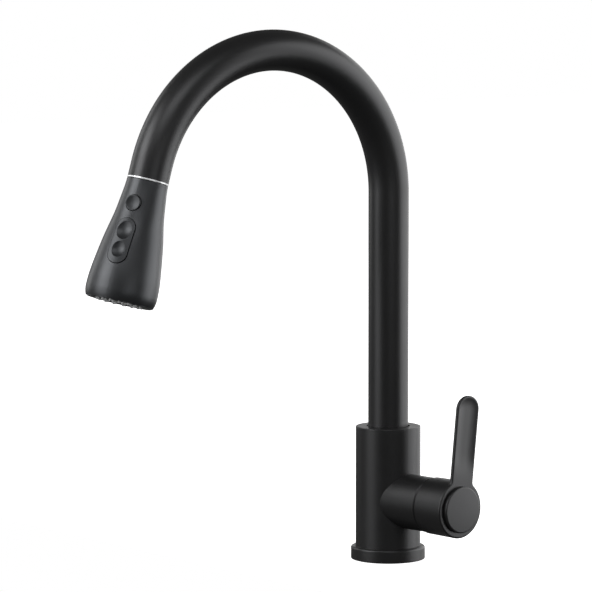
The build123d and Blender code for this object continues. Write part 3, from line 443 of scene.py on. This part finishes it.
def lever_outline(inset, height, sunk=0.0):
    """Outline of hub and blade, drawn in by the inset and sunk along the blade's dish."""
    shoulder = blade_length - tip_height
    web_y = root_half + (tip_half - root_half) * hub_front_r / shoulder + web_r
    web_x = sqrt((hub_front_r + web_r) ** 2 - web_y**2)
    web_turn = atan2(web_y, web_x)
    half = []
    for k in range(tip_steps):
        a = pi / 2 * k / tip_steps
        half.append((shoulder + (tip_height - inset) * cos(a), (tip_half - inset) * sin(a)))
    for k in range(side_steps):
        x = shoulder + (web_x - shoulder) * k / side_steps
        half.append((x, tip_half + (web_y - web_r - tip_half) * k / side_steps - inset))
    for k in range(web_steps):
        a = -pi / 2 + (web_turn - pi / 2) * k / web_steps
        half.append((web_x + (web_r + inset) * cos(a), web_y + (web_r + inset) * sin(a)))
    for k in range(hub_steps + 1):
        a = web_turn + (pi - web_turn) * k / hub_steps
        half.append(((hub_front_r - inset) * cos(a), (hub_front_r - inset) * sin(a)))
    other = [(x, -y) for x, y in half[-2:0:-1]]
    outline = []
    for x, y in half + other:
        share = min(1, max(0, (x - dish_start) / (dish_full - dish_start)))
        outline.append((x, y, height - sunk * share * share * (3 - 2 * share)))
    return outline


rings = []
blade_back = hub_face - blade_thick
for k in range(round_steps + 1):
    a = pi / 2 * k / round_steps
    rings.append(lever_outline(back_round * (1 - sin(a)), blade_back + back_rise * (1 - cos(a))))
for k in range(round_steps + 1):
    a = pi / 2 * k / round_steps
    rings.append(lever_outline(front_round * (1 - cos(a)), hub_face - front_fall * (1 - sin(a))))
for k in range(1, dish_steps + 1):
    inset = front_round + (dish_reach - front_round) * k / dish_steps
    rings.append(lever_outline(inset, hub_face, dish * (1 - (1 - k / dish_steps) ** 2)))
bm = bmesh.new()
skinned(bm, rings)
cup_top = blade_back + back_rise + cup_lap
lathe(
    bm,
    [
        (0, socket_end),
        (socket_bore_r, socket_end),
        (socket_bore_r, socket_start),
        (socket_r, socket_start),
        (socket_r, hub_face - hub_plate),
        (hub_bore_r, hub_face - hub_plate),
        (hub_bore_r, hub_start + hub_rim_depth),
        (hub_rim_r, hub_start + hub_rim_depth),
        (hub_rim_r, hub_start + small_edge),
        (hub_rim_r + small_edge, hub_start),
        (hub_rear_r - small_edge, hub_start),
        (hub_rear_r, hub_start + small_edge),
        (hub_front_r - hub_seam, cup_top),
        (0, cup_top),
    ],
    hub_sides,
)
settled(bm, lever_frame)
piece("lever_shell", bm, "black_metal", "lever", ["lever_handle"])

cap_r = 17.25 * MM
cap_front = 80.45 * MM
cap_edge = 1.1 * MM
cap_edge_steps = 8
cap_plate = hub_face + 1.2 * MM
cap_spigot_r = 13.9 * MM
cap_spigot_bore_r = 12.3 * MM
cap_spigot_back = 75.0 * MM
profile = [
    (0, cap_plate),
    (cap_spigot_bore_r, cap_plate),
    (cap_spigot_bore_r, cap_spigot_back),
    (cap_spigot_r, cap_spigot_back),
    (cap_spigot_r, hub_face),
    (cap_r - small_edge, hub_face),
    (cap_r, hub_face + small_edge),
]
for k in range(cap_edge_steps + 1):
    a = pi / 2 * k / cap_edge_steps
    profile.append((cap_r - cap_edge * (1 - cos(a)), cap_front - cap_edge * (1 - sin(a))))
profile.append((0, cap_front))
bm = bmesh.new()
lathe(bm, profile, hub_sides)
settled(bm, lever_frame)
piece("hub_cap", bm, "black_metal", "lever", ["handle_cap"])

# ---------------------------------------------------------------- shank thread
shank_low, shank_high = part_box("threaded_shank")
shank_inset = 0.01 * MM  # keeps the round thread inside the box of the CAD mesh
shank_r = shank_high.x - shank_inset
shank_sides = 96
shank_bore_r = 14.6 * MM
shank_lead = 0.8 * MM
thread_pitch = 1.5 * MM
thread_depth = 0.8 * MM
thread_turns = 39
crest_end = 0.12 * thread_pitch
root_at = 0.56 * thread_pitch
profile = [(shank_bore_r, shank_high.z), (shank_bore_r, shank_low.z), (shank_r - shank_lead, shank_low.z)]
for k in range(thread_turns):
    level = shank_low.z + shank_lead + k * thread_pitch
    profile.append((shank_r, level))
    profile.append((shank_r, level + crest_end))
    profile.append((shank_r - thread_depth, level + root_at))
profile.append((shank_r, shank_low.z + shank_lead + thread_turns * thread_pitch))
profile.append((shank_r, shank_high.z))
profile.append((shank_bore_r, shank_high.z))
bm = bmesh.new()
lathe(bm, profile, shank_sides)
settled(bm, Matrix.Identity(4))
shank = piece("shank_thread", bm, "brass", "body", ["threaded_shank"], sharp=25)

# The deck hides what is under it, so nothing above it mirrors these pieces.
for name in ("deck_washer_rubber", "deck_washer_steel", "shank_nut", "nut_jack_screws"):
    nodes[name].visible_glossy = False
shank.visible_glossy = False

# ---------------------------------------------------------------- hose end in the dock
head_frame = placed(dock, button_dir, head_dir)
hose_r = 5.98 * MM
hose_bore_r = 4.0 * MM
hose_sides = 48
stub_top = -40.0 * MM
stub_foot = -13.5 * MM
stub_rings = 60
profile = [(hose_bore_r, stub_foot), (hose_bore_r, stub_top)]
for k in range(stub_rings + 1):
    profile.append((hose_r, stub_top + (stub_foot - stub_top) * k / stub_rings))
profile.append((hose_bore_r, stub_foot))
bm = bmesh.new()
lathe(bm, profile, hose_sides)
settled(bm, head_frame)
stub = piece("hose_end_braid", bm, "stub_braid", None, ["hose_stub"])
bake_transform(stub)

# ---------------------------------------------------------------- studio
view_turn = 53.5  # degrees from the front towards the lever
view_drop = 6.2046  # degrees that the camera looks down
view_far = 3.4577
view_aside = -0.0688
view_height = 0.5734
view_lens = 284.2358  # mm
view_sensor = 36  # mm


def aim(turn, rise=0.0):
    """Unit vector from the object towards this side; turn is measured from -Y towards +X."""
    side = radians(turn)
    lift = radians(rise)
    return Vector((sin(side) * cos(lift), -cos(side) * cos(lift), sin(lift)))


camera_data = bpy.data.cameras.new("camera")
camera_data.sensor_width = view_sensor
camera_data.lens = view_lens
camera_data.clip_start = 0.1
camera_data.clip_end = 50
camera = bpy.data.objects.new("camera", camera_data)
bpy.context.scene.collection.objects.link(camera)
bpy.context.scene.camera = camera
right = Vector((cos(radians(view_turn)), sin(radians(view_turn)), 0))
camera.location = aim(view_turn) * view_far + right * view_aside + up * view_height
camera.rotation_euler = (-aim(view_turn, view_drop)).to_track_quat("-Z", "Y").to_euler()

plain_white = (1, 1, 1, 1)
floor_edge = -0.125
floor_half_width = 4
floor_half_depth = 3


def pale_floor():
    """Pale matt floor that glows enough to run into the backdrop."""
    cloud_size = 120 * MM
    glow = 0.93
    pale = Finish("pale_floor")
    tone = pale.mix(pale.noise(cloud_size, 3.0), grey(0.93), grey(0.97))
    return pale.surface(
        Base_Color=tone, Roughness=0.9, Emission_Color=plain_white, Emission_Strength=glow
    )


bm = bmesh.new()
bmesh.ops.create_grid(bm, x_segments=1, y_segments=1, size=1.0)
bmesh.ops.scale(bm, verts=bm.verts, vec=(floor_half_width, floor_half_depth, 1))
bmesh.ops.translate(bm, verts=bm.verts, vec=(0, floor_edge + floor_half_depth, 0))
floor_mesh = bpy.data.meshes.new("floor")
bm.to_mesh(floor_mesh)
bm.free()
floor_mesh.materials.append(pale_floor())
floor = bpy.data.objects.new("floor", floor_mesh)
bpy.context.scene.collection.objects.link(floor)

# Diffuse and glossy rays skip the floor, so it throws no light back on the black coat.
floor.visible_diffuse = False
floor.visible_glossy = False

# The backdrop is white to the camera and dim to the object.
room_glow = 0.10
world = bpy.data.worlds.new("studio")
bpy.context.scene.world = world
sky = Graph(world)
dim = sky.node("ShaderNodeBackground", {}, {"Color": plain_white, "Strength": room_glow})
white = sky.node("ShaderNodeBackground", {}, {"Color": plain_white, "Strength": 1.0})
seen = sky.node("ShaderNodeLightPath", out="Is Camera Ray")
backdrop = sky.node("ShaderNodeMixShader", {}, {0: seen, 1: dim, 2: white})
sky.node("ShaderNodeOutputWorld", {}, {"Surface": backdrop})

light_centre = Vector((0, -0.1, 0.2))


def softbox(name, turn, rise, far, width, tall, power):
    """Soft rectangular light turned to face the object.

    Its place is given in degrees to the right of the camera, degrees up and metres away.
    """
    data = bpy.data.lights.new(name, "AREA")
    data.shape = "RECTANGLE"
    data.size = width
    data.size_y = tall
    data.energy = power
    light = bpy.data.objects.new(name, data)
    bpy.context.scene.collection.objects.link(light)
    towards = aim(view_turn + turn, rise)
    light.location = light_centre + towards * far
    light.rotation_euler = (-towards).to_track_quat("-Z", "Y").to_euler()


softbox("right_wide", turn=96, rise=10, far=1.7, width=1.5, tall=1.8, power=24)
softbox("right_back", turn=142, rise=8, far=1.9, width=1.5, tall=1.5, power=12)
softbox("left_wide", turn=-65, rise=13, far=1.8, width=1.2, tall=1.5, power=15)
softbox("left_high", turn=-69, rise=33, far=1.8, width=1.1, tall=0.8, power=11)
softbox("left_low_back", turn=-130, rise=14, far=2.0, width=0.9, tall=1.3, power=6)
softbox("left_back", turn=-112, rise=24, far=1.9, width=1.3, tall=0.8, power=1.2)
softbox("front_fill", turn=21, rise=8, far=1.3, width=0.8, tall=0.3, power=1.3)
softbox("high_front", turn=0, rise=48, far=2.0, width=1.4, tall=0.8, power=10)
softbox("behind", turn=180, rise=9, far=2.4, width=1.2, tall=0.5, power=2.5)

scene = bpy.context.scene
scene.view_settings.view_transform = "Standard"
